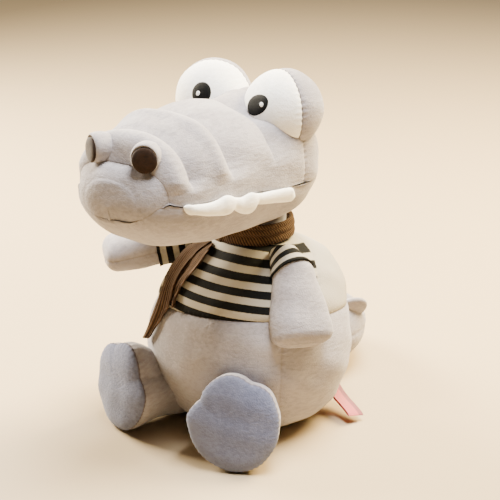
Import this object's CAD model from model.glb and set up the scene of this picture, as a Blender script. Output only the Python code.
"""Plush crocodile, sitting: the looks of the toy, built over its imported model.

Stuffed plush pieces are sewn together along drawn-in seams, with a striped knitted shirt, a corduroy scarf,
felt nostrils, embroidered eyes and a folded ribbon tag. The toy faces -Y and its left side is +X.
"""

import math

import bpy
import numpy as np
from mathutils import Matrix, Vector


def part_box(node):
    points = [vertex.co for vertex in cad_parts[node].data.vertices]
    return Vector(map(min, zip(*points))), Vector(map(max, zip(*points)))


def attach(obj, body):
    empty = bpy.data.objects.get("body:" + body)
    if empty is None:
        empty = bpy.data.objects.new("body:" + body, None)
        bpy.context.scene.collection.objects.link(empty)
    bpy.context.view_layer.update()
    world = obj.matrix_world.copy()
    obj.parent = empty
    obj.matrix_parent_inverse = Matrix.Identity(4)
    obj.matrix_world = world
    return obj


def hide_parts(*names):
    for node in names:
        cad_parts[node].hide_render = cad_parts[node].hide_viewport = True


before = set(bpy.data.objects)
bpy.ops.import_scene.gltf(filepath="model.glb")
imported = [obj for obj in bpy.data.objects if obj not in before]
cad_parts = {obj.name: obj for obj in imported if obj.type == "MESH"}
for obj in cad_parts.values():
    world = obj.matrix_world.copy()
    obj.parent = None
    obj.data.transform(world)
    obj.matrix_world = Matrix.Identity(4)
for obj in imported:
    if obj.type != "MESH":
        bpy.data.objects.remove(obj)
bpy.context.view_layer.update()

# Belly
# The lower half of the trunk is one stuffed pear of pale grey short-pile plush, cut from panels that meet
# down both sides of the front and down the back. Its upper edge is sewn to the shirt, a little askew.
BODY_RADIUS = 0.097
BODY_HEIGHT = 0.178
BODY_LEAN_RUN = 0.115
BODY_COLUMNS = 288
BELLY_ROWS = 110
HEM_SHARE = 0.645
HEM_TILT_SHARE = 0.024
BELLY_SEAM_TURNS = (54, -54, 180)
BELLY_SEAM_FADE = 0.030
SEAM_DEPTH = 0.0022
SEAM_WIDTH = 0.0028
SEAM_LINE = 0.0007
GATHER_PITCH = 0.0055
GATHER_SHARE = 0.30
LUMP_SIZE = 0.060
LUMP_HEIGHT = 0.0006
PALE_GREY = "9D999D"
DEEP_GREY = "8B878B"
SEAM_SHADE = "5A4B3E"
# height, half width, half depth, centre towards the back, share of the lean
BODY_SHARES = (
    (0.000, 0.470, 0.450, -0.06, 0.00),
    (0.030, 0.620, 0.600, -0.06, 0.00),
    (0.100, 0.800, 0.785, -0.07, 0.05),
    (0.220, 0.915, 0.905, -0.09, 0.20),
    (0.380, 1.000, 1.000, -0.10, 0.50),
    (0.520, 0.985, 0.985, -0.08, 0.85),
    (0.650, 0.925, 0.925, -0.03, 1.00),
    (0.780, 0.835, 0.845, 0.03, 1.00),
    (0.870, 0.720, 0.750, 0.06, 1.00),
    (0.930, 0.605, 0.630, 0.06, 1.00),
    (0.975, 0.455, 0.480, 0.02, 0.90),
    (1.000, 0.360, 0.370, -0.02, 0.60),
)


def linear(code):
    """The linear colour of an sRGB hex code."""
    parts = [int(code[i : i + 2], 16) / 255 for i in (0, 2, 4)]
    return [c / 12.92 if c <= 0.04045 else ((c + 0.055) / 1.055) ** 2.4 for c in parts] + [1]


def smooth(table, places):
    """Each column of a table at the places wanted: cubic curves through its rows, sloped by neighbours."""
    table, places = np.asarray(table, float), np.asarray(places, float)
    at, rows = table[:, 0], table[:, 1:]
    slopes = np.gradient(rows, at, axis=0)
    flat = places.ravel()
    low = np.clip(np.searchsorted(at, flat, side="right") - 1, 0, len(at) - 2)
    run = (at[low + 1] - at[low])[:, None]
    t = np.clip((flat - at[low]) / run[:, 0], 0, 1)[:, None]
    rise = rows[low + 1] - rows[low]
    bend = t * (1 - t) * ((slopes[low] * run - rise) * (1 - t) - (slopes[low + 1] * run - rise) * t)
    return (rows[low] + rise * t + bend).T.reshape(-1, *places.shape)


def eased(count, low=0.0, high=1.0):
    """Evenly eased steps from low to high: half a cosine, mixed with even steps."""
    even = np.linspace(0, 1, count)
    return low + (high - low) * ((1 - np.cos(math.pi * even)) / 2 + even) / 2


def around(count):
    """Angles of a full ring."""
    return np.linspace(-math.pi, math.pi, count, endpoint=False)


def blob(places, middle, width):
    """A soft bump: e to the power of minus the squared distance from the middle over the width."""
    return np.exp(-(((places - middle) / width) ** 2))


def unit(vectors):
    """Vectors made one long: each over its own length, to which the least float is added."""
    return vectors / (np.linalg.norm(vectors, axis=-1, keepdims=True) + np.finfo(float).tiny)


def outward(points):
    """Unit normals of rings of points: steps round crossed with steps along, away from each ring's middle."""
    along = np.gradient(points, axis=0)
    round_ring = np.roll(points, -1, axis=1) - np.roll(points, 1, axis=1)
    normal = unit(np.cross(round_ring, along))
    away = ((points - points.mean(axis=1, keepdims=True)) * normal).sum()
    return normal * np.sign(away)


def pinch(distance, along, depth=SEAM_DEPTH, width=SEAM_WIDTH):
    """Depth of a seam: e to the power of minus the distance over its width, rippled along it by gathers."""
    fall = np.exp(-np.abs(distance) / width)
    return depth * fall * (1 + GATHER_SHARE * np.sin(math.tau * along / GATHER_PITCH))


def seam_line(distance):
    """How much of the seam shows at a distance from it, from 1 down to 0."""
    return np.exp(-((distance / SEAM_LINE) ** 2))


def lumps(points, size=LUMP_SIZE, height=LUMP_HEIGHT):
    """Unevenness of the filling: a product of sines through space that repeats about every size."""
    x, y, z = np.moveaxis(points, -1, 0) * math.tau / size
    return height * np.sin(x + np.sin(z)) * np.sin(y + np.cos(x)) + height / 2 * np.sin(2 * z + y)


def pressed(points, depth):
    """Rings of points moved inwards along their normals."""
    return points - outward(points) * depth[..., None]


def resting(points):
    """Points that reach no lower than the floor, where a stuffed piece lies flat on it."""
    return np.maximum(points, [-math.inf, -math.inf, 0])


def skin(name, points, uv=None, seam=None):
    """A closed mesh over rings of points: quads between rings, and each end ring drawn to its middle.

    uv holds one more column than points, so that the pattern closes, and seam is a value for each point, ring
    or column.
    """
    rows, columns = points.shape[:2]
    index = np.arange(rows * columns).reshape(rows, columns)
    ahead = np.roll(index, -1, axis=1)
    quads = np.stack([index[:-1], ahead[:-1], ahead[1:], index[1:]], axis=-1).reshape(-1, 4)
    first = np.stack([ahead[0], index[0], np.full(columns, rows * columns)], axis=-1)
    last = np.stack([index[-1], ahead[-1], np.full(columns, rows * columns + 1)], axis=-1)
    corners = np.vstack([points.reshape(-1, 3), points[0].mean(axis=0), points[-1].mean(axis=0)])
    fans = np.vstack([first, last])
    a, b, c, d = corners[quads].transpose(1, 0, 2)
    volume = (np.cross(a, b) * c).sum() + (np.cross(a, c) * d).sum()
    step = 1 if volume > 0 else -1
    mesh = bpy.data.meshes.new(name)
    mesh.from_pydata(corners, [], quads[:, ::step].tolist() + fans[:, ::step].tolist())
    if uv is not None:
        square = np.stack([uv[:-1, :-1], uv[:-1, 1:], uv[1:, 1:], uv[1:, :-1]], axis=2).reshape(-1, 4, 2)
        near = np.stack([uv[0, 1:], uv[0, :-1], (uv[0, 1:] + uv[0, :-1]) / 2], axis=1)
        far = np.stack([uv[-1, :-1], uv[-1, 1:], (uv[-1, 1:] + uv[-1, :-1]) / 2], axis=1)
        ends = np.vstack([near, far])
        flat = np.vstack([square[:, ::step].reshape(-1, 2), ends[:, ::step].reshape(-1, 2)])
        mesh.uv_layers.new(name="cloth").data.foreach_set("uv", flat.ravel())
    shade = np.append(np.broadcast_to(0.0 if seam is None else seam, (rows, columns)).ravel(), [0, 0])
    mesh.attributes.new("seam", "FLOAT", "POINT").data.foreach_set("value", shade)
    mesh.shade_smooth()
    thing = bpy.data.objects.new(name, mesh)
    bpy.context.scene.collection.objects.link(thing)
    return thing


def sewn(thing, material, body, slot, *nodes):
    """Gives a finished piece its cloth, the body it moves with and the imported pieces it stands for."""
    thing.data.materials.append(material)
    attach(thing, body)
    if nodes:
        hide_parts(*nodes)
    return thing


def stuffed(thing, material, body, slot, *nodes):
    """A sewn piece that is filled with polyester."""
    return sewn(thing, material, body, slot, *nodes)


def result(node):
    """The socket that a node gives its result on: the first that is in use."""
    return next(socket for socket in node.outputs if socket.enabled)


def add_node(tree, kind, inputs=None, **settings):
    """Adds a node with its settings, each input set to a value or linked from a socket or a node."""
    node = tree.nodes.new("ShaderNode" + kind)
    for name, value in settings.items():
        setattr(node, name, value)
    for name, value in (inputs or {}).items():
        if isinstance(value, bpy.types.Node):
            value = result(value)
        if isinstance(value, bpy.types.NodeSocket):
            tree.links.new(value, node.inputs[name])
        else:
            node.inputs[name].default_value = value
    return node


def blank(name):
    """A new node material, with its tree and its shader."""
    material = bpy.data.materials.new(name)
    material.use_nodes = True
    return material, material.node_tree, material.node_tree.nodes["Principled BSDF"]


def faced(shader, colour, bump, roughness, sheen=0.0, specular=None):
    """Gives a shader its colour and bump from nodes, and its uniform values: a pile's specular if none."""
    links = shader.id_data.links
    links.new(result(colour), shader.inputs["Base Color"])
    links.new(result(bump), shader.inputs["Normal"])
    shader.inputs["Roughness"].default_value = roughness
    shader.inputs["Specular IOR Level"].default_value = PILE_SPECULAR if specular is None else specular
    shader.inputs["Sheen Weight"].default_value = sheen


# Plush is knitted polyester with a sheared pile about 1.5 mm high. The pile is matt and takes light at
# its tips, which is the sheen, and it lies in brushed streaks several millimetres long. Single fibres are
# too fine to show, so the tufts are drawn as coarse as the picture needs.
PILE_TUFT = 0.0011
PILE_TUFT_HEIGHT = 0.00035
PILE_TUFT_TONE = 0.35
PILE_STREAK = 0.0026
PILE_STREAK_HEIGHT = 0.0005
PILE_STREAK_STRETCH = (0.7, 0.32, 1.0)
PILE_STREAK_TURN = (-0.75, 0.0, 0.0)
PILE_STREAK_WANDER = 0.3
PILE_TONE_LOW = 0.8
PILE_TONE_HIGH = 1.2
PILE_DRIFT = 0.045
PILE_ROUGHNESS = 0.95
PILE_SPECULAR = 0.15
PILE_SHEEN = 0.25
PILE_SHEEN_ROUGHNESS = 0.45
SEAM_STAIN = 0.60


def plush(name, pale, deep, bump=1.0):
    """A plush: streaks, tufts and drifts mix its two tones, streaks and tufts roughen it, seams darken it."""
    material, tree, shader = blank(name)
    place = add_node(tree, "TexCoord").outputs["Object"]
    turned = add_node(
        tree, "Mapping", {"Vector": place, "Rotation": PILE_STREAK_TURN, "Scale": PILE_STREAK_STRETCH}
    )
    streak = add_node(
        tree,
        "TexNoise",
        {"Vector": turned, "Scale": 1 / PILE_STREAK, "Detail": 2, "Distortion": PILE_STREAK_WANDER},
    )
    tuft = add_node(tree, "TexNoise", {"Vector": place, "Scale": 1 / PILE_TUFT, "Detail": 2})
    drift = add_node(tree, "TexNoise", {"Vector": place, "Scale": 1 / PILE_DRIFT, "Detail": 1})
    both = add_node(tree, "Math", {0: streak, 1: drift}, operation="ADD")
    tone = add_node(tree, "Math", {0: tuft, 1: PILE_TUFT_TONE, 2: both}, operation="MULTIPLY_ADD")
    mix = add_node(
        tree,
        "MapRange",
        {
            "Value": tone,
            "From Min": PILE_TONE_LOW + PILE_TUFT_TONE / 2,
            "From Max": PILE_TONE_HIGH + PILE_TUFT_TONE / 2,
        },
    )
    cloth = add_node(tree, "Mix", {0: mix, 6: linear(deep), 7: linear(pale)}, data_type="RGBA")
    seam = add_node(tree, "Attribute", attribute_name="seam")
    parted = add_node(tree, "Math", {0: seam.outputs["Fac"], 1: SEAM_STAIN}, operation="MULTIPLY")
    shaded = add_node(tree, "Mix", {0: parted, 6: cloth, 7: linear(SEAM_SHADE)}, data_type="RGBA")
    rough = add_node(tree, "Bump", {"Height": streak, "Distance": PILE_STREAK_HEIGHT * bump})
    fine = add_node(tree, "Bump", {"Height": tuft, "Distance": PILE_TUFT_HEIGHT * bump, "Normal": rough})
    faced(shader, shaded, fine, PILE_ROUGHNESS, PILE_SHEEN)
    shader.inputs["Sheen Roughness"].default_value = PILE_SHEEN_ROUGHNESS
    return material


def pear(level, turn, out=0.0):
    """Points on the trunk: at a share of its height and a turn from the front, moved out from its skin."""
    level, turn = np.broadcast_arrays(np.asarray(level, float), np.asarray(turn, float))
    wide, deep, back, lean = smooth(BODY_SHARES, level)
    run = -(deep * BODY_RADIUS + out) * np.cos(turn)
    x = (wide * BODY_RADIUS + out) * np.sin(turn)
    return np.stack([x, back * BODY_RADIUS + run, level * BODY_HEIGHT - lean * BODY_LEAN_RUN * run], axis=-1)


def apart(turn, other):
    """The shorter way between two turns, in radians."""
    return np.abs((turn - other + math.pi) % math.tau - math.pi)


grey = plush("grey_short_plush", PALE_GREY, DEEP_GREY)


def grey_piece(node, body, points, seam=None):
    """A stuffed piece of the grey plush, over rings of points."""
    return stuffed(skin(node + "_plush", points, seam=seam), grey, body, "grey_plush", node)


turn = around(BODY_COLUMNS)
hem = HEM_SHARE + HEM_TILT_SHARE * np.sin(turn)
level = eased(BELLY_ROWS)[:, None] * hem
points = pear(level, turn)
to_hem = (hem - level) * BODY_HEIGHT
depth = pinch(to_hem, turn * BODY_RADIUS)
line = seam_line(to_hem)
for seam_turn in BELLY_SEAM_TURNS:
    off = apart(turn, math.radians(seam_turn)) * BODY_RADIUS
    fade = np.clip(level * BODY_HEIGHT / BELLY_SEAM_FADE, 0, 1)
    depth = depth + fade * pinch(off, level * BODY_HEIGHT) / 2
    line = np.maximum(line, seam_line(off) * fade / 2)
points = resting(pressed(points, depth - lumps(points)))
grey_piece("belly", "torso", points, line)

# Shirt
# The upper half of the trunk wears a fine cotton knit: black and cream stripes round the front, and one
# plain cream panel behind, sewn on along a seam that runs from the shoulder down under the arm.
SHIRT_ROWS = 90
SHIRT_STAND = 0.0008
STRIPE_PITCH_SHARE = 0.0685
STRIPE_CENTRE_SHARE = 0.7268
STRIPE_TILT_SHARE = 0.0208
STRIPE_CUT = -0.094
STRIPE_EDGE = 0.14
STRIPE_RAGGED = 0.0006
KNIT_LOOP = 0.0011
KNIT_LOOP_HEIGHT = 0.00035
KNIT_CREAM = "AAA699"
KNIT_CREAM_DEEP = "9C968A"
KNIT_BLACK = "040505"
KNIT_BLACK_PALE = "0B0D0D"
COTTON_ROUGHNESS = 0.9
COTTON_SHEEN = 0.03
# height, turn of the side seam from the front in degrees
SIDE_SEAM = (
    (0.60, 78), (0.80, 81), (0.887, 87), (0.945, 99), (0.975, 114), (1.00, 128),
)


def cloth_axes(tree):
    """The two axes of a piece's own UV map, in metres on its cloth."""
    cloth = add_node(tree, "UVMap", uv_map="cloth")
    return add_node(tree, "SeparateXYZ", {0: cloth}).outputs[:2]


def closed(values):
    """A grid of values with its first column again at its end, so that a pattern closes round a ring."""
    return np.column_stack([values, values[:, 0]])


def waves(tree, along, pitch, crest=0.0):
    """A cosine wave along a socket: one wave to each pitch, with a crest at the place given."""
    turns = {0: along, 1: math.tau / pitch, 2: -crest * math.tau / pitch}
    phase = add_node(tree, "Math", turns, operation="MULTIPLY_ADD")
    return add_node(tree, "Math", {0: phase}, operation="COSINE")


# Cotton jersey is knitted in loops too fine to show singly, so they are drawn as a faint grain. It is matt
# and even, and the stripes are knitted in, so their edges wander a little from loop to loop.
def knit(name, pitch, centre):
    """A fine knit: loops roughen it, and stripes across its second UV axis run where the first is below 0."""
    material, tree, shader = blank(name)
    aside, along = cloth_axes(tree)
    place = add_node(tree, "TexCoord").outputs["Object"]
    wander = add_node(tree, "TexNoise", {"Vector": place, "Scale": 1 / KNIT_LOOP, "Detail": 1})
    drift = add_node(tree, "TexNoise", {"Vector": place, "Scale": 1 / PILE_DRIFT, "Detail": 2})
    cream = add_node(
        tree, "Mix", {0: drift, 6: linear(KNIT_CREAM_DEEP), 7: linear(KNIT_CREAM)}, data_type="RGBA"
    )
    black = add_node(
        tree, "Mix", {0: wander, 6: linear(KNIT_BLACK), 7: linear(KNIT_BLACK_PALE)}, data_type="RGBA"
    )
    strays = {0: wander, 1: STRIPE_RAGGED, 2: along}
    ragged = add_node(tree, "Math", strays, operation="MULTIPLY_ADD")
    wave = waves(tree, ragged, pitch, centre)
    band = add_node(
        tree,
        "MapRange",
        {
            "Value": wave,
            "From Min": STRIPE_CUT - STRIPE_EDGE,
            "From Max": STRIPE_CUT + STRIPE_EDGE,
        },
    )
    front = add_node(tree, "Math", {0: aside, 1: 0.0}, operation="LESS_THAN")
    shown = add_node(tree, "Math", {0: band, 1: front}, operation="MULTIPLY")
    colour = add_node(tree, "Mix", {0: shown, 6: cream, 7: black}, data_type="RGBA")
    loops = add_node(tree, "Bump", {"Height": wander, "Distance": KNIT_LOOP_HEIGHT})
    faced(shader, colour, loops, COTTON_ROUGHNESS, COTTON_SHEEN)
    return material


striped = knit("striped_cotton_knit", STRIPE_PITCH_SHARE * BODY_HEIGHT, STRIPE_CENTRE_SHARE * BODY_HEIGHT)
level = hem + eased(SHIRT_ROWS)[:, None] * (1 - hem)
points = pear(level, turn, SHIRT_STAND)
(seam_turn,) = np.radians(smooth(SIDE_SEAM, level))
off = (np.abs(turn) - seam_turn) * BODY_RADIUS
off_hem = (level - hem) * BODY_HEIGHT
off_back = apart(turn, math.pi) * BODY_RADIUS
depth = sum(pinch(seam_off, level * BODY_HEIGHT) for seam_off in (off, off_back)) / 2
depth = depth + pinch(off_hem, turn * BODY_RADIUS)
points = pressed(points, depth - lumps(points))
closing = np.append(turn, -turn[0])
height = (closed(level) + STRIPE_TILT_SHARE * closing) * BODY_HEIGHT
uv = np.stack([(np.abs(closing) - closed(seam_turn)) * BODY_RADIUS, height], axis=-1)
stuffed(skin("shirt_knit", points, uv), striped, "torso", "striped_knit", "shirt")

# Sleeves and arms
# Each arm is a flat-sided stuffed mitten of the grey plush with a seam along both edges, in a short sleeve of
# the striped knit that ends in a black edge. The left arm hangs down and the right one is held out.
SIDES = {"left": 1, "right": -1}
ARM_LENGTH = 0.091
ARM_HALF_WIDTH = 0.029
ARM_HALF_THICKNESS = 0.0185
ARM_ROUNDNESS = 2.2
ARM_COLUMNS = 128
ARM_ROWS = 110
ARM_SEAM_SHARE = 0.45
SLEEVE_ROWS = 60
SLEEVE_STAND = 0.0012
SLEEVE_CUFF = 0.0012
SLEEVE_CUFF_WIDTH = 0.003
CUFF_SHARES = {"left": 0.25, "right": 0.44}
CUFF_SLANTS = {"left": (0.043, -0.076), "right": (0.0, 0.0)}
SLEEVE_STRIPE_PITCHES = {"left": 0.0092, "right": 0.0118}
SLEEVE_TOP_WIDTH = 0.62
SLEEVE_TOP_RUN = 0.26
SLEEVE_TOP_SHIFT = 0.0060
SLEEVE_TOP_POWER = 1.5
ARM_START_SHARE = 0.15
SHOULDER_PLACES = {"left": (0.052, -0.020, 0.178), "right": (-0.052, -0.022, 0.170)}
ARM_TURNS = {"left": 50, "right": -47}
ARM_DROPS = {"left": 54, "right": 9}
# along the arm, half width, half thickness
ARM_SHARES = (
    (0.00, 0.58, 0.90),
    (0.15, 0.66, 0.97),
    (0.33, 0.73, 1.00),
    (0.50, 0.84, 1.00),
    (0.68, 0.95, 0.98),
    (0.84, 1.00, 0.90),
    (0.90, 0.96, 0.84),
    (0.95, 0.83, 0.66),
    (0.98, 0.62, 0.44),
    (0.995, 0.37, 0.24),
    (1.00, 0.03, 0.03),
)


def oval(angle, roundness):
    """Across and up on a unit oval: cosine and sine, to the power of two over the roundness, signs kept."""
    across, up = np.cos(angle), np.sin(angle)
    return [np.sign(part) * np.abs(part) ** (2 / roundness) for part in (across, up)]


def arm(side, share, angle, out=0.0):
    """Points on an arm: at a share of its length and an angle round its oval, moved out from its skin."""
    turn, drop = math.radians(ARM_TURNS[side]), math.radians(ARM_DROPS[side])
    ahead = np.array([math.sin(turn), -math.cos(turn), 0])
    along = ahead * math.cos(drop) - np.array([0, 0, math.sin(drop)])
    across = np.array([math.cos(turn), math.sin(turn), 0])
    over = np.cross(across, along)
    share, angle = np.broadcast_arrays(share, angle)
    wide, thick = smooth(ARM_SHARES, share)
    sideways, up = oval(angle, ARM_ROUNDNESS)
    near_top = np.clip(1 - share / SLEEVE_TOP_RUN, 0, 1) ** SLEEVE_TOP_POWER * (side == "left")
    wide = wide * (1 - (1 - SLEEVE_TOP_WIDTH) * near_top)
    middle = np.array(SHOULDER_PLACES[side]) + share[..., None] * along * ARM_LENGTH
    middle = middle - near_top[..., None] * across * SLEEVE_TOP_SHIFT
    reach = (wide * ARM_HALF_WIDTH + out) * sideways
    rise = (thick * ARM_HALF_THICKNESS + out) * up
    return middle + reach[..., None] * across + rise[..., None] * over


ring = around(ARM_COLUMNS)
sleeve_knit = knit("striped_sleeve_knit", 1.0, 0.0)
for side in SIDES:
    slant = CUFF_SLANTS[side]
    cuff = CUFF_SHARES[side] - slant[0] * np.cos(ring) - slant[1] * np.sin(ring)
    share = eased(SLEEVE_ROWS)[:, None] * cuff
    from_cuff = (cuff - share) * ARM_LENGTH
    edge = SLEEVE_CUFF * blob(from_cuff, 0, SLEEVE_CUFF_WIDTH)
    points = arm(side, share, ring, SLEEVE_STAND + edge)
    points = pressed(points, pinch(apart(ring, 0) * ARM_HALF_WIDTH, share * ARM_LENGTH) / 2 - lumps(points))
    stripes = closed(from_cuff) / SLEEVE_STRIPE_PITCHES[side]
    sleeve = skin(side + "_sleeve_knit", points, np.stack([-np.ones_like(stripes), stripes], axis=-1))
    stuffed(sleeve, sleeve_knit, side + "_arm", "striped_knit", side + "_sleeve")
    share = ARM_START_SHARE + (1 - ARM_START_SHARE) * np.sin(np.linspace(0, math.pi / 2, ARM_ROWS))[:, None]
    points = arm(side, share, ring)
    off = np.minimum(apart(ring, 0), apart(ring, math.pi)) * ARM_HALF_WIDTH
    points = pressed(points, ARM_SEAM_SHARE * pinch(off, share * ARM_LENGTH) - lumps(points))
    grey_piece(side + "_arm", side + "_arm", points, seam_line(off) / 2)

# Feet
# Each leg is a short stuffed tube of the grey plush that opens into a foot. The sole faces forwards: a padded
# panel of cooler plush with two lobes for toes at the top, sewn in round its rim with small gathers.
SOLE_RADIUS = 0.0455
SOLE_DOME = 0.009
FOOT_LENGTH = 0.090
LEG_DROP = 0.012
LEG_RADIUS = 0.030
FOOT_COLUMNS = 240
FOOT_ROWS = 90
SOLE_ROWS = 60
FOOT_ROW_POWER = 1.3
RIM_DEPTH = 0.0016
SOLE_RIM_SHARE = 0.6
SOLE_EDGE_POWER = 2.2
SOLE_ROUND_POWER = 0.9
SOLE_MIDDLE_SHARE = 0.015
SOLE_PALE = "6A7089"
SOLE_DEEP = "5B617A"
SOLE_PLACES = {"left": (0.061, -0.114, 0.0415), "right": (-0.0715, -0.114, 0.0423)}
FOOT_TURNS = {"left": 25, "right": 19}
FOOT_TILTS = {"left": 13, "right": 6}
# outline of the sole: turn from the outer side in degrees, radius
SOLE_SHARES = (
    (0, 0.90), (24, 0.93), (46, 0.99), (62, 0.95), (72, 0.91), (84, 0.97), (102, 1.03), (122, 0.98),
    (138, 0.90), (148, 0.86), (158, 0.93), (170, 0.99), (190, 0.96), (225, 0.90), (270, 0.93),
    (315, 0.93), (360, 0.90),
)
# back from the sole, size against the sole, share of the way from the outline to a round leg
FOOT_SHARES = (
    (0.00, 0.99, 0.00),
    (0.06, 0.98, 0.02),
    (0.20, 0.93, 0.15),
    (0.34, 0.90, 0.38),
    (0.50, 0.92, 0.65),
    (0.65, 0.97, 0.88),
    (0.80, 1.00, 1.00),
    (1.00, 1.00, 1.00),
)


def spokes(ring, across, upright):
    """Directions round an axis: cosine of each angle times across, and its sine times upright."""
    return np.cos(ring)[..., None] * across + np.sin(ring)[..., None] * upright


def foot(side, place, size, mix, ahead=0.0):
    """Points round a foot: the sole's outline, sized and mixed with a circle, back from the sole."""
    sign = math.copysign(1, SOLE_PLACES[side][0])
    turn, tilt = math.radians(FOOT_TURNS[side]), math.radians(FOOT_TILTS[side])
    back = np.array([-sign * math.sin(turn), math.cos(turn), 0])
    across = np.array([sign * math.cos(turn), math.sin(turn), 0])
    upright = np.array([0, 0, math.cos(tilt)]) + back * math.sin(tilt)
    ring = around(FOOT_COLUMNS)
    (outline,) = smooth(SOLE_SHARES, np.degrees(ring) % 360)
    radius = size * (outline * SOLE_RADIUS * (1 - mix) + LEG_RADIUS * mix)
    middle = np.array(SOLE_PLACES[side]) + back * (place * FOOT_LENGTH - ahead)[..., None]
    middle[..., 2] -= mix * LEG_DROP
    return middle + radius[..., None] * spokes(ring, across, upright)


sole_cloth = plush("cool_grey_short_plush", SOLE_PALE, SOLE_DEEP)
ring = around(FOOT_COLUMNS) * SOLE_RADIUS
for side in SIDES:
    place = eased(FOOT_ROWS)[:, None] ** FOOT_ROW_POWER
    size, mix = smooth(FOOT_SHARES, place)
    points = foot(side, place, size, mix)
    off = place * FOOT_LENGTH
    points = resting(pressed(points, pinch(off, ring, RIM_DEPTH) - lumps(points)))
    grey_piece(side + "_leg", side + "_leg", points, seam_line(off))
    out = np.sin(math.pi / 2 * eased(SOLE_ROWS))[:, None]
    size = np.sqrt(np.clip(1 - out**SOLE_EDGE_POWER, 0, 1)) ** SOLE_ROUND_POWER
    size = SOLE_MIDDLE_SHARE + (1 - SOLE_MIDDLE_SHARE) * size
    points = foot(side, out * 0, size, out * 0, out * SOLE_DOME)
    off = (1 - size) * SOLE_RADIUS
    points = pressed(points, pinch(off, ring, RIM_DEPTH * SOLE_RIM_SHARE) - lumps(points))
    sole = skin(side + "_sole_plush", points, seam=seam_line(off))
    stuffed(sole, sole_cloth, side + "_leg", "blue_grey_plush", side + "_sole")

# Tail
# A tapering stuffed tube of the grey plush, sewn to the lower back, curls round to the toy's right. Four
# small padded fins of the same plush stand on its upper side, the first of them flopped over to the left.
TAIL_ROOT_RADIUS = 0.039
TAIL_X = (0.000, 0.002, 0.004, -0.022, -0.064, -0.100)
TAIL_Y = (0.040, 0.080, 0.126, 0.165, 0.178, 0.160)
TAIL_UNDERSIDES = (0.0110, 0.0108, 0.0091, 0.0036, 0.0010, 0.0008)
TAIL_RADIUS_SHARES = (1.00, 0.98, 0.92, 0.74, 0.50, 0.30)
TAIL_ROWS = 130
TAIL_COLUMNS = 128
TAIL_TIP_ROWS = 21
TAIL_TIP_SHARE = 0.1
FIN_THICKNESS = 0.010
FIN_SINK = 0.006
FIN_ROWS = 33
FIN_COLUMNS = 96
FIN_STEP_SHARE = 0.01
FIN_ROUNDNESS = 1.7
FIN_EDGE_POWER = 2.5
FIN_EDGE_LEAST = 0.01
# along the tail, length, height, lean over to the left, turn of the fin on the tail, in degrees
FINS = (
    (0.37, 0.040, 0.016, 46, 30),
    (0.42, 0.030, 0.013, 0, 0),
    (0.60, 0.024, 0.011, 0, 0),
    (0.77, 0.018, 0.008, 0, 0),
)


def tail_line(places):
    """The middle and the radius of the tail at shares of its length."""
    steps = np.linspace(0, 1, len(TAIL_X))
    table = np.column_stack([steps, TAIL_X, TAIL_Y, TAIL_UNDERSIDES, TAIL_RADIUS_SHARES])
    x, y, underside, share = smooth(table, places)
    radius = share * TAIL_ROOT_RADIUS
    return np.stack([x, y, underside + radius], axis=-1), radius


def tube(middles, radii, columns):
    """Rings of given radii, square to a line of middles and level across."""
    ahead = unit(np.gradient(middles, axis=0))
    across = unit(np.cross(ahead, [0, 0, 1]))
    above = np.cross(across, ahead)
    return middles[:, None] + radii[:, None, None] * spokes(around(columns), across[:, None], above[:, None])


places = np.linspace(0, 1, TAIL_ROWS)
middles, radii = tail_line(places)
tip = np.sin(np.linspace(0, math.pi / 2, TAIL_TIP_ROWS))[1:]
ahead = unit(middles[-1] - middles[-2])
middles = np.vstack([middles, middles[-1] + np.outer(tip, ahead) * radii[-1]])
radii = np.append(radii, radii[-1] * np.sqrt(np.maximum(1 - tip**2, TAIL_TIP_SHARE**2)))
points = tube(middles, radii, TAIL_COLUMNS)
ring = around(TAIL_COLUMNS)
run = np.cumsum(np.append(0, np.linalg.norm(np.diff(middles, axis=0), axis=1)))[:, None]
off = np.minimum(apart(ring, 0), apart(ring, math.pi)) * radii[:, None]
points = resting(pressed(points, pinch(off, run) / 2 - lumps(points)))
grey_piece("tail", "tail", points, seam_line(off) / 2)
for number, (place, length, height, lean, turned) in enumerate(FINS, 1):
    near, radius = tail_line(np.array([place - FIN_STEP_SHARE, place, place + FIN_STEP_SHARE]))
    along = unit((near[2] - near[0]) * (1, 1, 0))
    lean, turned = math.radians(lean), math.radians(turned)
    above, left = np.array([0, 0, 1]), np.cross(along, [0, 0, 1])
    radial = above * math.cos(lean) + left * math.sin(lean)
    along = along * math.cos(turned) + (left * math.cos(lean) - above * math.sin(lean)) * math.sin(turned)
    foot_point = near[1] + radial * (radius[1] - FIN_SINK)
    width = np.linspace(-1, 1, FIN_ROWS)[:, None]
    swell = np.sqrt(np.clip(1 - np.abs(width) ** FIN_EDGE_POWER, FIN_EDGE_LEAST, 1))
    angle = around(FIN_COLUMNS)
    reach = swell * np.cos(angle) * length / 2
    rise = FIN_SINK / 2 + swell * oval(angle, FIN_ROUNDNESS)[1] * (height + FIN_SINK / 2)
    points = foot_point + reach[..., None] * along + rise[..., None] * radial
    points = points + (width * FIN_THICKNESS / 2)[..., None] * np.cross(along, radial)
    grey_piece(f"tail_fin_{number}", "tail", points)

# Neck
# A short stuffed tube of the grey plush joins the trunk to the head, sewn to both. It is hidden behind the
# scarf and the jaw, so its seams don't show.
NECK_ROWS = 24
NECK_COLUMNS = 96
neck_low, neck_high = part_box("neck")
neck_radius = (neck_high.x - neck_low.x) / 2
rise = np.linspace(neck_low.z, neck_high.z, NECK_ROWS)
middles = np.column_stack([rise * 0, rise * 0 + (neck_low.y + neck_high.y) / 2, rise])
points = middles[:, None] + neck_radius * spokes(around(NECK_COLUMNS), [1, 0, 0], [0, 1, 0])
grey_piece("neck", "neck", points)

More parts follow.
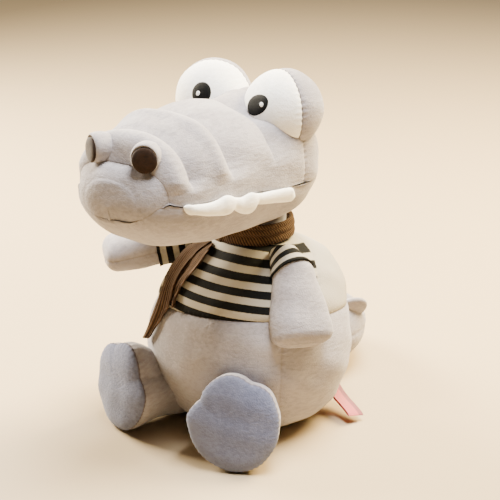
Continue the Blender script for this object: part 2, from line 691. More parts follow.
# Scarf
# A strip of brown needlecord with ribs about 2.3 mm apart goes once round the neck in soft pleats and crosses
# at the front right. Its two pointed ends hang down the front of the trunk, one partly over the other.
CORD_PITCH = 0.0023
CORD_RIB_HEIGHT = 0.0006
CORD_PALE = "6A5038"
CORD_MIDDLE = "4C3826"
CORD_DEEP = "291D13"
CORD_WEAR = 0.007
SCARF_CLOTH = 0.0013
SCARF_RADIUS = 0.0400
SCARF_LOW_Z = 0.1735
SCARF_HIGH_Z = 0.1975
SCARF_COLUMNS = 60
WRAP_ROWS = 220
WRAP_OVERLAP = 14
WRAP_SPIRAL = 0.0012
WRAP_SWAY_SHARE = 0.05
WRAP_RISE = 0.0070
WRAP_RISE_TURN = 110
WRAP_RIB_TURN = 54
KNOT_TURN = -26
KNOT_PINCH = 0.18
KNOT_WIDTH = 0.25
# along the section, out from the neck, up from the lowest edge
WRAP_SHARES = (
    (0.00, 0.30, 0.38),
    (0.10, 0.55, 0.12),
    (0.20, 0.88, 0.02),
    (0.30, 1.00, 0.16),
    (0.38, 0.97, 0.32),
    (0.46, 0.80, 0.44),
    (0.52, 0.82, 0.52),
    (0.60, 0.97, 0.60),
    (0.68, 0.93, 0.72),
    (0.76, 0.78, 0.80),
    (0.83, 0.82, 0.90),
    (0.91, 0.66, 1.00),
    (1.00, 0.30, 0.94),
)


# Needlecord is cotton woven with cut piles in narrow ribs. The ribs are worn pale on top and dark in between,
# and the cloth is matt.
def needlecord(name):
    """Needlecord: ribs across the first UV axis, worn pale on their tops and dark between."""
    material, tree, shader = blank(name)
    aside, _ = cloth_axes(tree)
    place = add_node(tree, "TexCoord").outputs["Object"]
    wave = waves(tree, aside, CORD_PITCH)
    rib = add_node(tree, "MapRange", {"Value": wave, "From Min": -1.0, "From Max": 1.0})
    wear = add_node(tree, "TexNoise", {"Vector": place, "Scale": 1 / CORD_WEAR, "Detail": 4})
    tone = add_node(tree, "Mix", {0: wear, 6: linear(CORD_MIDDLE), 7: linear(CORD_PALE)}, data_type="RGBA")
    colour = add_node(tree, "Mix", {0: rib, 6: linear(CORD_DEEP), 7: tone}, data_type="RGBA")
    ribs = add_node(tree, "Bump", {"Height": rib, "Distance": CORD_RIB_HEIGHT})
    faced(shader, colour, ribs, COTTON_ROUGHNESS, COTTON_SHEEN)
    return material


def sheet_normal(points):
    """Unit normals of an open sheet of points."""
    return unit(np.cross(np.gradient(points, axis=0), np.gradient(points, axis=1)))


def doubled(points, across, along, thickness=SCARF_CLOTH, rib_turn=0.0):
    """Both faces of a cloth in one ring: its rows moved out by half its thickness, and back the other way.

    The ribs run along the rows, turned across them by rib_turn degrees.
    """
    half = sheet_normal(points) * thickness / 2
    both = np.concatenate([points + half, (points - half)[:, ::-1]], axis=1)
    across, along = np.broadcast_arrays(across, along)
    cosine, sine = math.cos(math.radians(rib_turn)), math.sin(math.radians(rib_turn))
    turned = (across * cosine + along * sine, along * cosine - across * sine)
    return both, np.stack([closed(np.hstack([way, way[:, ::-1]])) for way in turned], axis=-1)


def spans(points):
    """The mean length of the rows and of the columns of a sheet."""
    across = np.linalg.norm(np.diff(points, axis=1), axis=-1).sum(axis=1).mean()
    along = np.linalg.norm(np.diff(points, axis=0), axis=-1).sum(axis=0).mean()
    return across, along


cord = needlecord("brown_needlecord")
turn = np.radians(np.linspace(KNOT_TURN - WRAP_OVERLAP, KNOT_TURN + 360 + WRAP_OVERLAP, WRAP_ROWS))[:, None]
place = np.linspace(0, 1, SCARF_COLUMNS)[None, :]
out, up = smooth(WRAP_SHARES, place)
sway = WRAP_SWAY_SHARE * np.sin(2 * turn + 1) * np.sin(math.pi * up)
near_knot = blob(np.cos(turn - math.radians(KNOT_TURN)), 1, KNOT_WIDTH)
up = 0.5 + (up - 0.5 + sway) * (1 - KNOT_PINCH * near_knot)
reach = SCARF_RADIUS - neck_radius - 2 * SCARF_CLOTH
radius = neck_radius + SCARF_CLOTH / 2 + out * reach + WRAP_SPIRAL * (turn - turn[0]) / math.tau
low = SCARF_LOW_Z + WRAP_RISE * (0.5 + 0.5 * np.cos(turn - math.radians(WRAP_RISE_TURN)))
z = low + up * (SCARF_HIGH_Z - low)
middle_y = (neck_low.y + neck_high.y) / 2
points = np.stack(np.broadcast_arrays(radius * np.sin(turn), middle_y - radius * np.cos(turn), z), axis=-1)
width, length = spans(points)
along = (turn - turn[0]) * SCARF_RADIUS
both, uv = doubled(points, place * width, along, rib_turn=WRAP_RIB_TURN)
wrap = sewn(skin("scarf_wrap_cord", both, uv), cord, "torso", "brown_corduroy", "scarf_wrap")

# Scarf ends
# The ends are single strips of the same cord, cut to a point. The longer one is rolled to a soft crest along
# its length, and the shorter one lies behind it with its free edge turned up.
END_ROWS = 140
END_COLUMNS = 40
# along the end, level on the trunk, turn of its middle in degrees, half width in metres
LONG_TABLE = (
    (0.00, 0.9775, -27, 0.0120),
    (0.10, 0.930, -30, 0.0150),
    (0.25, 0.860, -30, 0.0125),
    (0.37, 0.800, -30, 0.0125),
    (0.50, 0.740, -28.5, 0.0118),
    (0.63, 0.670, -26, 0.0105),
    (0.76, 0.600, -26.5, 0.0080),
    (0.88, 0.525, -29.5, 0.0058),
    (0.97, 0.468, -34, 0.0048),
    (1.00, 0.456, -36, 0.0025),
)
SHORT_TABLE = (
    (0.00, 0.9663, -18, 0.0090),
    (0.18, 0.915, -17, 0.0130),
    (0.35, 0.860, -17, 0.0125),
    (0.55, 0.795, -19, 0.0105),
    (0.72, 0.740, -20, 0.0080),
    (0.88, 0.690, -19, 0.0058),
    (0.97, 0.662, -17, 0.0040),
    (1.00, 0.655, -16, 0.0020),
)
# across the end from the right edge, height off the shirt in metres
LONG_SECTION = (
    (-1.0, 0.0030), (-0.8, 0.0058), (-0.4, 0.0076), (0.0, 0.0072), (0.4, 0.0050), (0.8, 0.0040),
    (1.0, 0.0042),
)
SHORT_SECTION = (
    (-1.0, 0.0014), (-0.5, 0.0014), (0.0, 0.0022), (0.4, 0.0020), (0.7, 0.0032), (0.9, 0.0056),
    (1.0, 0.0052),
)
END_RIPPLE = 0.0007


def scarf_end(name, table, section, node):
    """An end that follows the trunk from row to row of its table, with its section's heights across it."""
    place = np.linspace(0, 1, END_ROWS)[:, None]
    across = np.linspace(-1, 1, END_COLUMNS)[None, :]
    level, middle, half_width = smooth(table, place)
    (lift,) = smooth(section, across)
    ripple = END_RIPPLE * np.sin(2 * math.tau * place + 2 * across)
    points = pear(level, np.radians(middle) + across * half_width / BODY_RADIUS, lift + ripple)
    width, length = spans(points)
    both, uv = doubled(points, across * half_width, place * length)
    end = sewn(skin(name, both, uv), cord, "scarf_ends", "brown_corduroy", node)


scarf_end("scarf_long_end_cord", LONG_TABLE, LONG_SECTION, "scarf_long_end")
scarf_end("scarf_short_end_cord", SHORT_TABLE, SHORT_SECTION, "scarf_short_end")

# Upper head
# The head is one long stuffed form. Its upper part is grey plush over the snout and the skull, with tucks
# sewn across the top of the snout, so that the cloth puffs up in front of each of them.
HEAD_LENGTH = 0.243
HEAD_WIDTH = 0.137
HEAD_HEIGHT = 0.121
HEAD_BACK_Y = 0.040
HEAD_LOW_Z = 0.199
HEAD_ROUNDNESS = 2.35
HEAD_ROWS = 320
HEAD_COLUMNS = 260
INNER_COLUMNS = 16
NOSE_SEAM_SHARE = 0.080
NOSE_SEAM_LEAN = 0.014
NOSE_DEPTH = 0.0034
NOSE_WIDTH = 0.0036
NOSE_SIDE_SHARE = 0.35
NOSE_TOP_POWER = 4
NOSE_LINE = 0.7
TUCK_SHARES = (0.168, 0.355, 0.585)
TUCK_DEPTHS = (0.0066, 0.0074, 0.0046)
TUCK_ENDS = (0.057, 0.061, 0.061)
TUCK_FRONT = 0.0045
TUCK_BACK = 0.0150
PUFF_RISES = (0.0032, 0.0032, 0.0)
PUFF_AHEAD = 0.012
PUFF_WIDTH = 0.009
TUCK_FADE = 0.009
TUCK_FADE_Z = 0.268
EYE_PLACE = (0.0385, -0.0115, 0.305)
HOLLOW_PLACE = (0.031, -0.042)
HOLLOW_WIDTHS = (0.017, 0.024)
HOLLOW_DEPTH = 0.0115
MOUTH_DEPTH = 0.00025
MOUTH_WIDTH = 0.0030
MOUTH_LINE = 0.55
BACK_SEAM_Y = -0.018
BACK_SEAM_DEPTH = 0.0010
BACK_SEAM_LINE = 0.3
CHORD_BOW_SHARE = 0.03
SEAM_RISE_MOST = 0.999
# back from the nose, half width, top, bottom, widest level
HEAD_SHARES = (
    (0.000, 0.020, 0.470, 0.455, 0.462),
    (0.008, 0.270, 0.590, 0.370, 0.475),
    (0.022, 0.435, 0.650, 0.320, 0.480),
    (0.042, 0.570, 0.700, 0.275, 0.485),
    (0.066, 0.680, 0.745, 0.232, 0.485),
    (0.095, 0.760, 0.835, 0.190, 0.480),
    (0.136, 0.830, 0.920, 0.145, 0.475),
    (0.198, 0.890, 0.965, 0.105, 0.472),
    (0.280, 0.930, 0.985, 0.070, 0.472),
    (0.383, 0.955, 0.995, 0.032, 0.475),
    (0.506, 0.970, 1.000, 0.015, 0.478),
    (0.630, 0.985, 1.000, 0.002, 0.480),
    (0.753, 1.000, 0.995, 0.000, 0.480),
    (0.835, 0.965, 0.975, 0.015, 0.480),
    (0.897, 0.865, 0.920, 0.060, 0.482),
    (0.946, 0.700, 0.830, 0.140, 0.484),
    (0.980, 0.480, 0.710, 0.260, 0.486),
    (0.996, 0.240, 0.590, 0.380, 0.488),
    (1.000, 0.020, 0.495, 0.480, 0.488),
)
# back from the nose, height of the mouth seam
MOUTH_SHARES = (
    (-0.100, 0.364), (0.008, 0.365), (0.016, 0.377), (0.031, 0.424), (0.047, 0.470), (0.066, 0.506),
    (0.080, 0.528), (0.095, 0.508), (0.120, 0.486), (0.185, 0.480), (0.260, 0.475), (0.320, 0.464),
    (0.400, 0.442), (0.490, 0.422), (0.580, 0.402), (0.670, 0.380), (0.760, 0.362), (0.900, 0.345),
    (1.100, 0.340),
)


def head(place, angle):
    """Points on the head: at a share of its length back from the nose and an angle round a squarish oval."""
    place, angle = np.broadcast_arrays(place, angle)
    wide, top, bottom, widest = smooth(HEAD_SHARES, place)
    across, up = oval(angle, HEAD_ROUNDNESS)
    reach = np.where(up > 0, top - widest, widest - bottom) * HEAD_HEIGHT
    x = wide * HEAD_WIDTH / 2 * across
    y = HEAD_BACK_Y - HEAD_LENGTH * (1 - place)
    z = HEAD_LOW_Z + widest * HEAD_HEIGHT + reach * up
    hollow = HOLLOW_DEPTH * blob(np.abs(x), HOLLOW_PLACE[0], HOLLOW_WIDTHS[0])
    hollow = hollow * blob(y, HOLLOW_PLACE[1], HOLLOW_WIDTHS[1])
    return np.stack([x, y, z - hollow * np.clip(up, 0, 1)], axis=-1)


def tucks(points, place):
    """Depth of the tucks: e to the power of minus distance over a width, short in front and long behind."""
    depth = 0
    above = np.clip((points[..., 2] - TUCK_FADE_Z) / TUCK_FADE, 0, 1)
    for share, size, end, puff in zip(TUCK_SHARES, TUCK_DEPTHS, TUCK_ENDS, PUFF_RISES):
        off = (place - share) * HEAD_LENGTH
        fall = np.exp(-np.where(off < 0, -off / TUCK_FRONT, off / TUCK_BACK))
        fade = np.clip((end - np.abs(points[..., 0])) / TUCK_FADE + 1, 0, 1)
        depth = depth + (size * fall - puff * blob(off, -PUFF_AHEAD, PUFF_WIDTH)) * fade * above
    return depth


def seam_angle(place):
    """The angle on each ring of the head at which the mouth seam runs, and the height of the seam."""
    (seam,) = smooth(MOUTH_SHARES, place)
    _, _, bottom, widest = smooth(HEAD_SHARES, place)
    rise = (seam - widest) / np.where(seam < widest, widest - bottom, 1 - widest)
    drop = np.clip(np.abs(rise), 0, SEAM_RISE_MOST) * np.sign(rise)
    return np.sign(drop) * np.arcsin(np.abs(drop) ** (HEAD_ROUNDNESS / 2)), seam


def closed_within(points, count, bow):
    """Rings closed by a chord inside, from their last points to their first, bowed up by a share of it."""
    step = (np.arange(count) + 1)[None, :, None] / (count + 1)
    chord = points[:, -1:] * (1 - step) + points[:, :1] * step
    long = np.linalg.norm(points[:, -1:] - points[:, :1], axis=-1, keepdims=True)
    return np.concatenate([points, chord + long * np.sin(math.pi * step) * [0, 0, bow]], axis=1)


def nose_seam(angle):
    """How far back the nose seam runs at each angle: it leans forwards over the top."""
    return NOSE_SEAM_SHARE - NOSE_SEAM_LEAN * np.clip(np.sin(angle), 0, 1) ** 2


def head_part(place, angle, seam, bow):
    """Part of the head between two angles of each ring, drawn in at its seams, with its seam lines."""
    points = head(place, angle)
    mouth_off = points[..., 2] - HEAD_LOW_Z - seam * HEAD_HEIGHT
    nose_off = (place - nose_seam(angle)) * HEAD_LENGTH
    above = np.clip(mouth_off / SEAM_WIDTH + 1, 0, 1)
    depth = pinch(mouth_off, points[..., 1] - np.abs(points[..., 0]), MOUTH_DEPTH, MOUTH_WIDTH)
    full = NOSE_SIDE_SHARE + (1 - NOSE_SIDE_SHARE) * np.clip(np.sin(angle), 0, 1) ** NOSE_TOP_POWER
    depth = depth + above * pinch(nose_off, 0, NOSE_DEPTH * full, NOSE_WIDTH)
    depth = depth + above * pinch(points[..., 1] - BACK_SEAM_Y, points[..., 2], BACK_SEAM_DEPTH)
    depth = depth + tucks(points, place) - lumps(points)
    line = np.maximum(MOUTH_LINE * seam_line(mouth_off), NOSE_LINE * above * seam_line(nose_off))
    line = np.maximum(line, BACK_SEAM_LINE * above * seam_line(points[..., 1] - BACK_SEAM_Y))
    inner = np.zeros((len(points), INNER_COLUMNS))
    ringed = closed_within(points, INNER_COLUMNS, bow)
    depth, line = (np.concatenate([part, inner], axis=1) for part in (depth, line))
    return pressed(ringed, depth), line


share = np.linspace(0, 1, HEAD_COLUMNS)
back = eased(HEAD_ROWS)[:, None]
start, seam = seam_angle(NOSE_SEAM_SHARE + back * (1 - NOSE_SEAM_SHARE))
angle = start + (math.pi - 2 * start) * share
place = nose_seam(angle) + back * (1 - nose_seam(angle))
points, line = head_part(place, angle, seam, CHORD_BOW_SHARE)
grey_piece("upper_head", "head", points, line)

# Nose
# The front of the snout is a round panel of the same plush, soft and full. It is sewn in all round, and its
# seam is drawn in deepest over the top.
NOSE_ROWS = 110
NOSE_TIP = 0.02
back = np.linspace(NOSE_TIP, 1, NOSE_ROWS)[:, None] ** 2
start, seam = seam_angle(NOSE_SEAM_SHARE * back)
angle = start + (math.pi - 2 * start) * share
place = nose_seam(angle) * back
points, line = head_part(place, angle, seam, CHORD_BOW_SHARE)
stuffed(skin("nose_plush", points, seam=line), grey, "head", "grey_plush", "nose_panel")

# Jaw
# The lower jaw is one piece of the grey plush. It is sewn to the nose and the upper head along the mouth
# seam, which dips under the nose and falls away towards the back.
JAW_ROWS = 300
JAW_SHARES = (0.0125, 0.987)
place = eased(JAW_ROWS, *JAW_SHARES)[:, None]
start, seam = seam_angle(place)
angle = math.pi - start + (math.pi + 2 * start) * share
points, line = head_part(place, angle, seam, -CHORD_BOW_SHARE)
grey_piece("lower_jaw", "head", points, line)

# Eyes
# Each eye is a stuffed ball on top of the head: white plush in front, grey plush behind, joined by a seam
# that turns outwards. A pupil is embroidered on it in black satin stitch, with a fleck of white.
EYE_RADIUS = 0.0358
EYE_SEAM_TURN = 25
EYE_SEAM_AHEAD = 0.0003
EYE_ROWS = 90
EYE_COLUMNS = 200
EYE_SEAM_DEPTH = 0.0014
WHITE_PALE = "FBFBF8"
WHITE_DEEP = "EFEEE9"
EYE_SEAM_STAIN = 0.75
EYE_STITCH_SHARE = 0.4
EYE_MARGIN = 0.01
WHITE_BUMP = 0.6
PUPIL_AIMS = {"left": (-0.13, -0.93, 0.25), "right": (0.28, -0.90, 0.31)}
PUPIL_RADII = {"left": (0.0128, 0.0092), "right": (0.0092, 0.0104)}
PUPIL_TILTS = {"left": 28, "right": -8}
PUPIL_STAND = 0.0012
HIGHLIGHT_AIMS = {"left": (0.05, -0.95, 0.29), "right": (0.22, -0.92, 0.29)}
HIGHLIGHT_RADII = (0.0018, 0.0022)
HIGHLIGHT_TILT = 20
STITCH_PITCH = 0.0007
STITCH_HEIGHT = 0.0003
THREAD_BLACK = "020303"
THREAD_WHITE = "F4F4F0"
THREAD_PALER = 1.6
THREAD_PALER_LEAST = 0.002
THREAD_ROUGHNESS = 0.7
PATCH_ROWS = 26
PATCH_COLUMNS = 72
PATCH_START = 0.04
PATCH_SINK = 0.5
PATCH_EDGE_SHARE = 0.98


def frame_of(aim):
    """An aim made unit long, with two directions square to it, the first of them level."""
    aim = unit(np.array(aim))
    level_way = unit(np.cross([0, 0, 1], aim))
    return aim, level_way, np.cross(aim, level_way)


def dome(middle, aim, radius, polar, ring):
    """Points on a ball: at an angle from the way it aims and round that way."""
    ahead, level_way, upright = frame_of(aim)
    reach = np.cos(polar)[..., None] * ahead + np.sin(polar)[..., None] * spokes(ring, level_way, upright)
    return np.array(middle) + np.asarray(radius)[..., None] * reach


# Embroidery thread is twisted polyester, laid in satin stitch: a fine ribbing that catches a little light on
# a dull ground. Single threads are too fine to show, so their rows are drawn coarser than they are sewn.
def satin(name, colour):
    """Satin stitch: long threads side by side across the patch's first UV axis."""
    material, tree, shader = blank(name)
    aside, _ = cloth_axes(tree)
    wave = waves(tree, aside, STITCH_PITCH)
    thread = add_node(tree, "Bump", {"Height": wave, "Distance": STITCH_HEIGHT / 2})
    place = add_node(tree, "TexCoord").outputs["Object"]
    stray = add_node(tree, "TexNoise", {"Vector": place, "Scale": 1 / PILE_TUFT})
    paler = [min(1, part * THREAD_PALER + THREAD_PALER_LEAST) for part in linear(colour)]
    tone = add_node(tree, "Mix", {0: stray, 6: linear(colour), 7: paler}, data_type="RGBA")
    faced(shader, tone, thread, THREAD_ROUGHNESS)
    return material


def stitched_patch(name, middle, aim, base, stand, radii, tilt):
    """An oval patch that follows a ball: raised by stand in the middle, round at its edge, closed inside."""
    rise = np.linspace(PATCH_START, 1, PATCH_ROWS)[:, None]
    ring = around(PATCH_COLUMNS)[None, :]
    tilt = math.radians(tilt)
    across = rise * radii[0] * np.cos(ring)
    up = rise * radii[1] * np.sin(ring)
    right, top = across * math.cos(tilt) - up * math.sin(tilt), across * math.sin(tilt) + up * math.cos(tilt)
    polar, spin = np.hypot(right, top) / base, np.arctan2(top, right)
    swell = (1 + PATCH_SINK) * np.sqrt(1 - PATCH_EDGE_SHARE * rise**4) - PATCH_SINK
    points = dome(middle, aim, base + stand * swell, polar, spin)
    return skin(name, points, np.stack([closed(across), closed(up)], axis=-1))


white = plush("white_short_plush", WHITE_PALE, WHITE_DEEP, WHITE_BUMP)
black_thread = satin("black_satin_stitch", THREAD_BLACK)
white_thread = satin("white_satin_stitch", THREAD_WHITE)
seam_polar = math.acos(EYE_SEAM_AHEAD * math.cos(math.radians(EYE_SEAM_TURN)) / EYE_RADIUS)
ring = around(EYE_COLUMNS)[None, :]
round_seam = ring * EYE_RADIUS * np.sin(seam_polar)
stitches = 1 - EYE_STITCH_SHARE + EYE_STITCH_SHARE * np.sin(math.tau * round_seam / GATHER_PITCH)
for side, sign in SIDES.items():
    middle = (sign * EYE_PLACE[0], *EYE_PLACE[1:])
    seam_turn = math.radians(EYE_SEAM_TURN)
    facing = (-sign * math.sin(seam_turn), -math.cos(seam_turn), 0)
    for piece, near, far, cloth, slot in (
        ("eye_white", 0, seam_polar, white, "white_plush"),
        ("eye_cap", seam_polar, math.pi, grey, "grey_plush"),
    ):
        polar = np.linspace(near + EYE_MARGIN, far - EYE_MARGIN, EYE_ROWS)[:, None]
        off = np.abs(polar - seam_polar) * EYE_RADIUS
        depth = pinch(off, round_seam, EYE_SEAM_DEPTH)
        points = dome(middle, facing, EYE_RADIUS - depth, *np.broadcast_arrays(polar, ring))
        points = pressed(points, -lumps(points) / 2)
        line = EYE_SEAM_STAIN * seam_line(off) * stitches
        name = f"{side}_{piece}"
        stuffed(skin(name + "_plush", points, seam=line), cloth, "head", slot, name)
    pupil = (PUPIL_AIMS[side], EYE_RADIUS, PUPIL_STAND, PUPIL_RADII[side], PUPIL_TILTS[side])
    fleck_base = EYE_RADIUS + PUPIL_STAND
    fleck = (HIGHLIGHT_AIMS[side], fleck_base, PUPIL_STAND / 2, HIGHLIGHT_RADII, sign * HIGHLIGHT_TILT)
    for piece, shape, thread, slot in (
        ("pupil", pupil, black_thread, "black_thread"),
        ("highlight", fleck, white_thread, "white_plush"),
    ):
        patch = stitched_patch(f"{side}_{piece}_stitch", middle, *shape)
        sewn(patch, thread, "head", slot, f"{side}_{piece}")

# Nostrils
# Two small stuffed rolls of the grey plush stand on the tip of the snout, each with a face of dark brown felt
# set a little low in its open end, so that the roll shows as a pale rim over it.
NOSTRIL_PLACE = (0.0240, -0.1800, 0.2965)
NOSTRIL_AIM = (0.44, -0.89, 0.04)
NOSTRIL_RADIUS = 0.0125
NOSTRIL_ROWS = 60
NOSTRIL_COLUMNS = 96
FELT_RADIUS = 0.0106
FELT_BULGE = 0.0022
FELT_ALONG = 0.0104
FELT_SHIFT = (0.0006, -0.0014)
FELT_FLATNESS = 0.6
FELT_MARGIN = 0.01
FELT_BUMP = 0.5
FELT_PALE = "2A1B11"
FELT_DEEP = "180F09"
# along the roll in metres, share of its radius
ROLL_TABLE = (
    (0.00, -0.0130, 0.05),
    (0.12, -0.0115, 0.45),
    (0.28, -0.0075, 0.82),
    (0.45, -0.0015, 1.00),
    (0.62, 0.0045, 1.02),
    (0.76, 0.0085, 0.96),
    (0.86, 0.0098, 0.86),
    (0.93, 0.0085, 0.76),
    (1.00, 0.0070, 0.10),
)


def revolved(middle, aim, along, radius, columns, aside=(0, 0)):
    """Rings about an axis through the middle or set aside from it: a distance along and a radius for each."""
    ahead, level_way, upright = frame_of(aim)
    round_axis = spokes(around(columns), level_way, upright)
    axis = np.array(middle) + aside[0] * level_way + aside[1] * upright
    return axis + along[:, None, None] * ahead + radius[:, None, None] * round_axis


# Felt is fibre pressed flat without a weave, so it is matt, and its nap is shorter than the plush's pile.
felt = plush("dark_brown_felt", FELT_PALE, FELT_DEEP, FELT_BUMP)
for side, sign in SIDES.items():
    middle = (sign * NOSTRIL_PLACE[0], *NOSTRIL_PLACE[1:])
    aim = (sign * NOSTRIL_AIM[0], *NOSTRIL_AIM[1:])
    along, radius = smooth(ROLL_TABLE, np.linspace(0, 1, NOSTRIL_ROWS))
    points = revolved(middle, aim, along, radius * NOSTRIL_RADIUS, NOSTRIL_COLUMNS)
    points = pressed(points, -lumps(points) / 2)
    grey_piece(side + "_nostril", "head", points)
    ring = np.linspace(FELT_MARGIN, math.pi - FELT_MARGIN, NOSTRIL_ROWS)
    along, radius = FELT_ALONG + FELT_BULGE * np.cos(ring), FELT_RADIUS * np.sin(ring) ** FELT_FLATNESS
    points = revolved(middle, aim, along, radius, NOSTRIL_COLUMNS, FELT_SHIFT)
    sewn(skin(side + "_nostril_felt_face", points), felt, "head", "brown_felt", side + "_nostril_felt")

# Teeth
# On each side a zigzag strip of padded white plush is sewn along the mouth seam, with its points up and down.
# It is swollen by its filling, most where it is widest, and thins out at both tips.
TEETH_RUN_SHARES = (0.118, 0.704)
TEETH_HEIGHT = 0.021
TEETH_DROP = 0.017
TEETH_THICKNESS = 0.0056
TEETH_PUFF = 0.0012
TEETH_PUFF_FROM = 0.6
TEETH_PUFF_OVER = 0.3
TEETH_TIP_SHARES = (0.002, 0.998)
TEETH_TAPER = 14
TEETH_ROUND_POWER = 0.8
TEETH_SWELL_SHARE = 0.62
TEETH_STAND_SHARE = 0.3
TEETH_ROWS = 200
TEETH_COLUMNS = 48
# back from the front tip, lower edge, upper edge
TEETH_EDGES = (
    (0.00, 0.78, 0.84),
    (0.02, 0.60, 0.92),
    (0.07, 0.47, 0.87),
    (0.15, 0.31, 0.82),
    (0.20, 0.245, 0.82),
    (0.25, 0.19, 0.88),
    (0.30, 0.165, 0.98),
    (0.35, 0.22, 0.92),
    (0.375, 0.34, 0.85),
    (0.41, 0.22, 0.80),
    (0.44, 0.13, 0.79),
    (0.48, 0.055, 0.87),
    (0.525, 0.03, 0.94),
    (0.56, 0.10, 0.885),
    (0.59, 0.35, 0.84),
    (0.63, 0.32, 0.80),
    (0.70, 0.27, 0.80),
    (0.80, 0.22, 0.80),
    (0.89, 0.16, 0.81),
    (0.94, 0.14, 0.76),
    (0.98, 0.15, 0.50),
    (1.00, 0.28, 0.34),
)


def beside_head(side, place, z):
    """Points on the side of the head at a share of its length and a height, with the way out from it."""
    wide, top, bottom, widest = smooth(HEAD_SHARES, place)
    level = (z - HEAD_LOW_Z) / HEAD_HEIGHT - widest
    share = np.clip(np.abs(level) / np.where(level > 0, top - widest, widest - bottom), 0, 1)
    x = wide * HEAD_WIDTH / 2 * (1 - share**HEAD_ROUNDNESS) ** (1 / HEAD_ROUNDNESS)
    y = HEAD_BACK_Y - HEAD_LENGTH * (1 - place)
    return np.stack([side * x, y, z], axis=-1)


along = eased(TEETH_ROWS, *TEETH_TIP_SHARES)[:, None]
lower, upper = smooth(TEETH_EDGES, along)
ring = around(TEETH_COLUMNS)[None, :]
place = TEETH_RUN_SHARES[0] + along * (TEETH_RUN_SHARES[1] - TEETH_RUN_SHARES[0]) + ring * 0
(seam,) = smooth(MOUTH_SHARES, place)
share = (lower + upper) / 2 + (upper - lower) / 2 * np.sin(ring)
z = HEAD_LOW_Z + seam * HEAD_HEIGHT - TEETH_DROP + share * TEETH_HEIGHT
ends = np.sqrt(np.clip(np.minimum(along, 1 - along) * TEETH_TAPER, 0, 1))
swell = ends * np.sign(np.cos(ring)) * np.abs(np.cos(ring)) ** TEETH_ROUND_POWER
lift = TEETH_THICKNESS * (TEETH_SWELL_SHARE * swell + TEETH_STAND_SHARE)
lift = lift + TEETH_PUFF * (upper - lower - TEETH_PUFF_FROM) / TEETH_PUFF_OVER * ends
for side, sign in SIDES.items():
    points = beside_head(sign, place, z)
    points[..., 0] += sign * lift
    stuffed(skin(side + "_teeth_plush", points), white, "head", "white_plush", side + "_teeth")

# Tag
# A folded loop of pink satin ribbon with a mauve edge is caught in the seam at the back of the seat. Its two
# halves lie close together, and it is bare.
TAG_WIDTH = 0.017
TAG_LENGTH = 0.050
TAG_GAP = 0.0008
TAG_CLOTH = 0.0004
TAG_SINK = 0.004
TAG_TURN = 131
TAG_LEVEL_SHARE = 0.12
TAG_HEADING = 63
TAG_DROP = 18
TAG_ROLL = 12
TAG_ROWS = 90
TAG_COLUMNS = 24
TAG_SWAY = 0.0012
TAG_SWAY_TURN = 5
TAG_FOLD_POWER = 1.6
TAG_OPENING = 6
RIBBON_PINK = "B9535F"
RIBBON_MAUVE = "7F3B4B"
RIBBON_EDGE_SHARES = (0.16, 0.22)
RIBBON_ROUGHNESS = 0.4
RIBBON_SPECULAR = 0.5


# Ribbon is polyester woven in satin, so it is smoother than the other cloths and has a soft shine. Its cross
# ribs are too fine to show, so they are drawn coarser than they are woven.
def ribbon(name):
    """Satin ribbon: fine cross ribs, and one edge woven in a second colour."""
    material, tree, shader = blank(name)
    aside, along = cloth_axes(tree)
    low, high = (TAG_WIDTH * share for share in RIBBON_EDGE_SHARES)
    edge = add_node(tree, "MapRange", {"Value": aside, "From Min": low, "From Max": high})
    colour = add_node(
        tree, "Mix", {0: edge, 6: linear(RIBBON_PINK), 7: linear(RIBBON_MAUVE)}, data_type="RGBA"
    )
    wave = waves(tree, along, STITCH_PITCH)
    rib = add_node(tree, "Bump", {"Height": wave, "Distance": STITCH_HEIGHT / 4})
    faced(shader, colour, rib, RIBBON_ROUGHNESS, specular=RIBBON_SPECULAR)
    return material


heading, drop, roll = (math.radians(value) for value in (TAG_HEADING, TAG_DROP, TAG_ROLL))
level_way = np.array([math.cos(heading), math.sin(heading), 0])
ahead = np.array([math.sin(heading), -math.cos(heading), 0]) * math.cos(drop) - [0, 0, math.sin(drop)]
side_way = level_way * math.cos(roll) - np.cross(ahead, level_way) * math.sin(roll)
over = np.cross(side_way, ahead)
root = pear(TAG_LEVEL_SHARE, math.radians(TAG_TURN)) - ahead * TAG_SINK
path = np.linspace(-1, 1, TAG_ROWS)[:, None]
from_root = 1 - np.abs(path) ** TAG_FOLD_POWER
lift = np.sign(path) * TAG_GAP * np.minimum(1, np.abs(path) * TAG_OPENING)
lift = lift + TAG_SWAY * np.sin(from_root * TAG_SWAY_TURN)
across = np.linspace(-1, 1, TAG_COLUMNS)[None, :] * TAG_WIDTH / 2
sideways = across[..., None] * side_way + lift[..., None] * over
points = root + TAG_LENGTH * from_root[..., None] * ahead + sideways
run = np.cumsum(np.append(0, np.linalg.norm(np.diff(points[:, 0], axis=0), axis=1)))[:, None]
both, uv = doubled(points, across, run, TAG_CLOTH)
satin_ribbon = ribbon("pink_satin_ribbon")
tag = sewn(skin("ribbon_tag_loop", both, uv), satin_ribbon, "tag", "pink_ribbon", "ribbon_tag")

# Studio
# A plain pale floor under soft light, seen as the photograph was taken: from the toy's front left and above.
# Three wide lamps stand round the toy, and the room itself gives a little light from all sides.
CAMERA_TURN = 36.5
CAMERA_RISE = 19.4
CAMERA_DISTANCE = 1.300
CAMERA_TARGET = (-0.0042, -0.0031, 0.1609)
CAMERA_LENS = 99.31
FLOOR_SIZE = 24.0
FLOOR_PALE = "B3A081"
FLOOR_ROUGHNESS = 0.9
WORLD_TONE = "FFF6EC"
WORLD_STRENGTH = 0.05
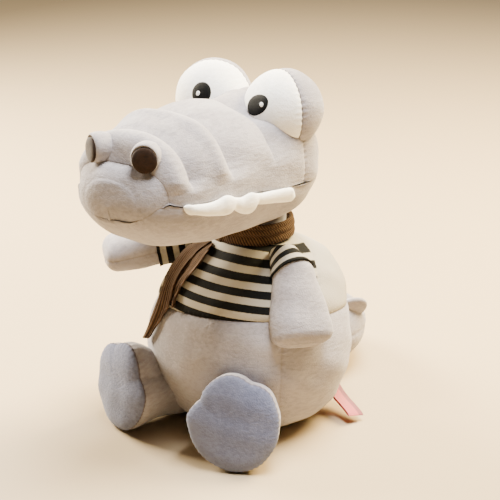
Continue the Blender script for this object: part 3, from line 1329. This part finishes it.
# turn round the toy and rise above level in degrees, distance and size in metres, power in watts, colour
LIGHTS = {
    "left_window": (-90, 26, 1.6, 0.8, 165, "FFF0D6"),
    "back_window": (158, 42, 1.6, 0.8, 172, "FFE4AC"),
    "overhead": (100, 80, 1.6, 0.8, 128, "FFFBF6"),
}


def around_toy(turn, rise, distance, target=(0, 0, 0)):
    """A place at a turn from the front, a rise above level and a distance from a target."""
    turn, rise = math.radians(turn), math.radians(rise)
    way = np.array([math.sin(turn) * math.cos(rise), -math.cos(turn) * math.cos(rise), math.sin(rise)])
    return Vector(np.array(target) + way * distance)


def aimed(thing, place, target):
    """Puts a light or the camera at a place and turns it to a target."""
    bpy.context.scene.collection.objects.link(thing)
    thing.location = place
    thing.rotation_euler = (Vector(target) - place).to_track_quat("-Z", "Y").to_euler()
    return thing


floor_mesh = bpy.data.meshes.new("floor")
half = FLOOR_SIZE / 2
corners = [(-half, -half, 0), (half, -half, 0), (half, half, 0), (-half, half, 0)]
floor_mesh.from_pydata(corners, [], [(0, 1, 2, 3)])
floor = bpy.data.objects.new("floor", floor_mesh)
bpy.context.scene.collection.objects.link(floor)
# The floor is painted matt, so it takes soft shadows and hardly mirrors the toy.
floor_paint, tree, shader = blank("pale_floor")
shader.inputs["Base Color"].default_value = linear(FLOOR_PALE)
shader.inputs["Roughness"].default_value = FLOOR_ROUGHNESS
floor_mesh.materials.append(floor_paint)
for name, (turn, rise, distance, size, power, colour) in LIGHTS.items():
    light = bpy.data.lights.new(name, "AREA")
    light.size = size
    light.energy = power
    light.color = linear(colour)[:3]
    aimed(bpy.data.objects.new(name, light), around_toy(turn, rise, distance, CAMERA_TARGET), CAMERA_TARGET)
world = bpy.data.worlds.new("soft_room")
world.use_nodes = True
room = world.node_tree.nodes["Background"]
room.inputs[0].default_value = linear(WORLD_TONE)
room.inputs[1].default_value = WORLD_STRENGTH
bpy.context.scene.world = world
lens = bpy.data.cameras.new("camera")
lens.lens = CAMERA_LENS
camera = bpy.data.objects.new("camera", lens)
aimed(camera, around_toy(CAMERA_TURN, CAMERA_RISE, CAMERA_DISTANCE, CAMERA_TARGET), CAMERA_TARGET)
bpy.context.scene.camera = camera
